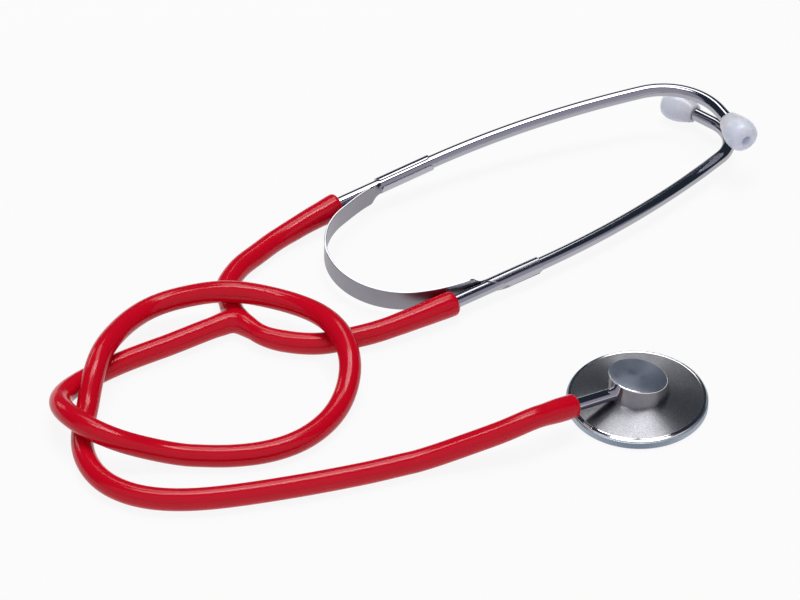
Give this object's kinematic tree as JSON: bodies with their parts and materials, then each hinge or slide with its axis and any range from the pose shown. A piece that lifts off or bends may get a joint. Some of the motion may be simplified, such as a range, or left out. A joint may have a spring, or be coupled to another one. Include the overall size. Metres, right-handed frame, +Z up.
{
  "type": "stethoscope",
  "caption": "Nurse stethoscope with a flat single head on a soft hose, which forks to two sprung ear tubes with plastic ear tips, lying in one open loop.",
  "frame": {"origin": "centre of the head's flat underside, where the diaphragm ring rests on the table", "axes": "+Z up from the table; +X to the viewer's right and +Y away from the viewer in the picture"},
  "size_m": [0.2446, 0.2219, 0.0248],
  "materials": {
    "turned_aluminium": "turned and polished, with a fine circular grain",
    "knurled_aluminium": "knurled edge, satin grey",
    "diaphragm_plastic": "thin glass-fibre disc, satin",
    "chrome": "bright plating",
    "spring_steel": "satin plating",
    "red_hose": "glossy soft vinyl",
    "white_tip": "smooth milky plastic"
  },
  "bodies": {
    "hose_and_head": {"chest_hose": "red_hose", "chest_hose_cuff": "red_hose", "hose_junction": "red_hose", "left_branch_hose": "red_hose", "right_branch_hose": "red_hose", "spring_band": "spring_steel", "head_body": "turned_aluminium", "chest_stem": "chrome"},
    "diaphragm_body": {"diaphragm": "diaphragm_plastic"},
    "ring_body": {"diaphragm_ring": "knurled_aluminium"},
    "left_arm": {"left_hose_cuff": "red_hose", "left_spring_sleeve": "spring_steel"},
    "right_arm": {"right_hose_cuff": "red_hose", "right_spring_sleeve": "spring_steel"},
    "left_tube": {"left_ear_tube": "chrome"},
    "right_tube": {"right_ear_tube": "chrome"},
    "left_tip": {"left_ear_tip": "white_tip"},
    "right_tip": {"right_ear_tip": "white_tip"}
  },
  "joints": [
    {"name": "left_spread", "type": "hinge", "parent": "hose_and_head", "child": "left_arm", "pos_m": [-0.10188, 0.08215, 0.0077], "axis": [0, 0, 1], "range_deg": [0, 25], "stiffness_Nm_per_rad": 2.75, "deforming": ["spring_band", "left_branch_hose"]},
    {"name": "right_spread", "type": "hinge", "parent": "hose_and_head", "child": "right_arm", "pos_m": [-0.08296, 0.05152, 0.0055], "axis": [0, 0, -1], "range_deg": [0, 25], "stiffness_Nm_per_rad": 2.75, "deforming": ["spring_band", "right_branch_hose"]},
    {"name": "left_tube_turn", "type": "hinge", "parent": "left_arm", "child": "left_tube", "pos_m": [-0.08945, 0.10693, 0.0081], "axis": [-0.8594, -0.5002, -0.1063], "range_deg": [0, 20]},
    {"name": "right_tube_turn", "type": "hinge", "parent": "right_arm", "child": "right_tube", "pos_m": [-0.05115, 0.05407, 0.0051], "axis": [-0.827, -0.562, -0.0122], "range_deg": [0, 20]},
    {"name": "left_tip_pull", "type": "slide", "parent": "left_tube", "child": "left_tip", "axis": [0.4623, -0.8855, -0.047], "range_m": [0, 0.012]},
    {"name": "right_tip_pull", "type": "slide", "parent": "right_tube", "child": "right_tip", "axis": [-0.7464, 0.6653, -0.0165], "range_m": [0, 0.012]},
    {"name": "ring_travel", "type": "slide", "parent": "hose_and_head", "child": "diaphragm_body", "axis": [0, 0, -1], "range_m": [0, 0.00175]},
    {"name": "ring_turn", "type": "hinge", "parent": "diaphragm_body", "child": "ring_body", "pos_m": [0, 0, 0], "axis": [0, 0, -1], "range_deg": [0, 840]}
  ],
  "couplings": [
    {"joint": "right_spread", "follows": "left_spread", "ratio": 1},
    {"joint": "ring_turn", "follows": "ring_travel", "rad_per_m": 8377}
  ]
}
